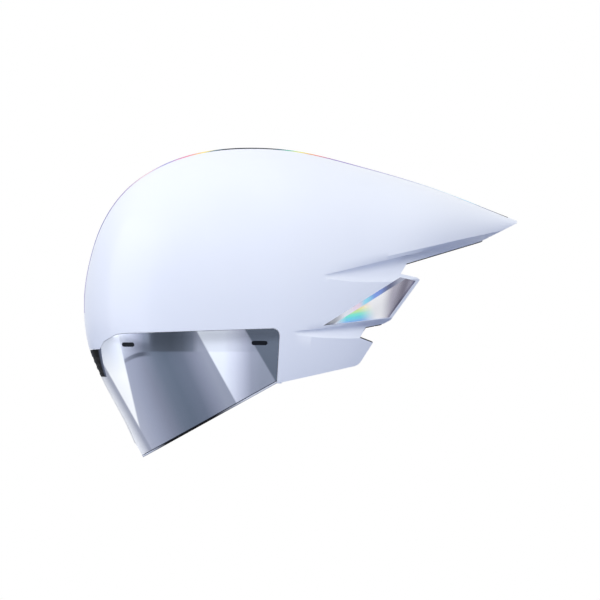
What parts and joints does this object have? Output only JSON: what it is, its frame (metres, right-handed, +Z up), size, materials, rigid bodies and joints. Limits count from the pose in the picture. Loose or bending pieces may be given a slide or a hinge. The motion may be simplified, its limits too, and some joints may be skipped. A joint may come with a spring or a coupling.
{
  "type": "aero time trial helmet",
  "caption": "Long-tailed cycling time trial helmet with a magnetic wraparound visor, foam liner, dial fit system, straps and buckle.",
  "frame": {"origin": "centre of the head opening, level with the top edge of the visor", "axes": "+X runs back along the helmet to the tail tip, +Z is up through the crown, -Y is the wearer's left"},
  "size_m": [0.3807, 0.2088, 0.2721],
  "materials": {
    "shell": "gloss white with a faint pearl",
    "foil": "prismatic foil under clear lacquer",
    "lens": "mirrored smoke polycarbonate",
    "lip": "clear moulded edge",
    "vent": "satin black moulding",
    "foam": "black expanded foam",
    "floor": "satin black panel",
    "pad": "knitted cover over soft foam",
    "fit_plastic": "fine textured nylon",
    "dial": "overmoulded grip",
    "webbing": "woven polyester webbing",
    "buckle": "fine textured acetal",
    "steel": "plain steel"
  },
  "bodies": {
    "helmet": {"outer_shell": "shell", "crest_stripe": "foil", "fin_insert_left": "foil", "fin_insert_right": "foil", "foam_liner": "foam", "tail_floor": "floor", "shell_magnets": "steel", "brow_pad": "pad", "crown_pad": "pad", "side_pad_left": "pad", "side_pad_right": "pad", "fit_rail": "fit_plastic", "strap_anchors": "fit_plastic", "strap_left": "webbing", "strap_right": "webbing", "divider_left": "buckle", "divider_right": "buckle", "lever_pins": "steel", "buckle_socket": "buckle", "buckle_plug": "buckle"},
    "visor": {"visor_lens": "lens", "visor_lip": "lip", "visor_vent": "vent", "visor_magnets": "steel"},
    "cradle": {"fit_cradle": "fit_plastic", "cradle_pad": "pad", "dial_housing": "fit_plastic"},
    "dial": {"fit_pinion": "fit_plastic", "fit_dial": "dial", "dial_screw": "steel"},
    "left_belt": {"belt_left": "fit_plastic"},
    "right_belt": {"belt_right": "fit_plastic"},
    "left_lever": {"lever_left": "buckle"},
    "right_lever": {"lever_right": "buckle"}
  },
  "joints": [
    {"name": "visor_pull", "type": "slide", "parent": "helmet", "child": "visor", "axis": [-0.9994, 0, -0.0335], "range_m": [0, 0.06]},
    {"name": "cradle_height", "type": "slide", "parent": "helmet", "child": "cradle", "axis": [0, 0, 1], "range_m": [-0.009, 0.009]},
    {"name": "dial_turn", "type": "hinge", "parent": "cradle", "child": "dial", "pos_m": [0.1, 0, 0], "axis": [-1, 0, 0], "range_deg": [-76.39, 101.86]},
    {"name": "left_belt_slide", "type": "slide", "parent": "cradle", "child": "left_belt", "axis": [0, 1, 0], "range_m": [-0.00605, 0.00805]},
    {"name": "right_belt_slide", "type": "slide", "parent": "cradle", "child": "right_belt", "axis": [0, -1, 0], "range_m": [-0.00605, 0.00805]},
    {"name": "left_lever_turn", "type": "hinge", "parent": "helmet", "child": "left_lever", "pos_m": [0.044, -0.0631, -0.029], "axis": [0, 0, 1], "range_deg": [0, 90]},
    {"name": "right_lever_turn", "type": "hinge", "parent": "helmet", "child": "right_lever", "pos_m": [0.044, 0.0631, -0.029], "axis": [0, 0, -1], "range_deg": [0, 90]}
  ],
  "couplings": [
    {"joint": "left_belt_slide", "follows": "dial_turn", "m_per_rad": 0.0045},
    {"joint": "right_belt_slide", "follows": "dial_turn", "m_per_rad": 0.0045}
  ]
}
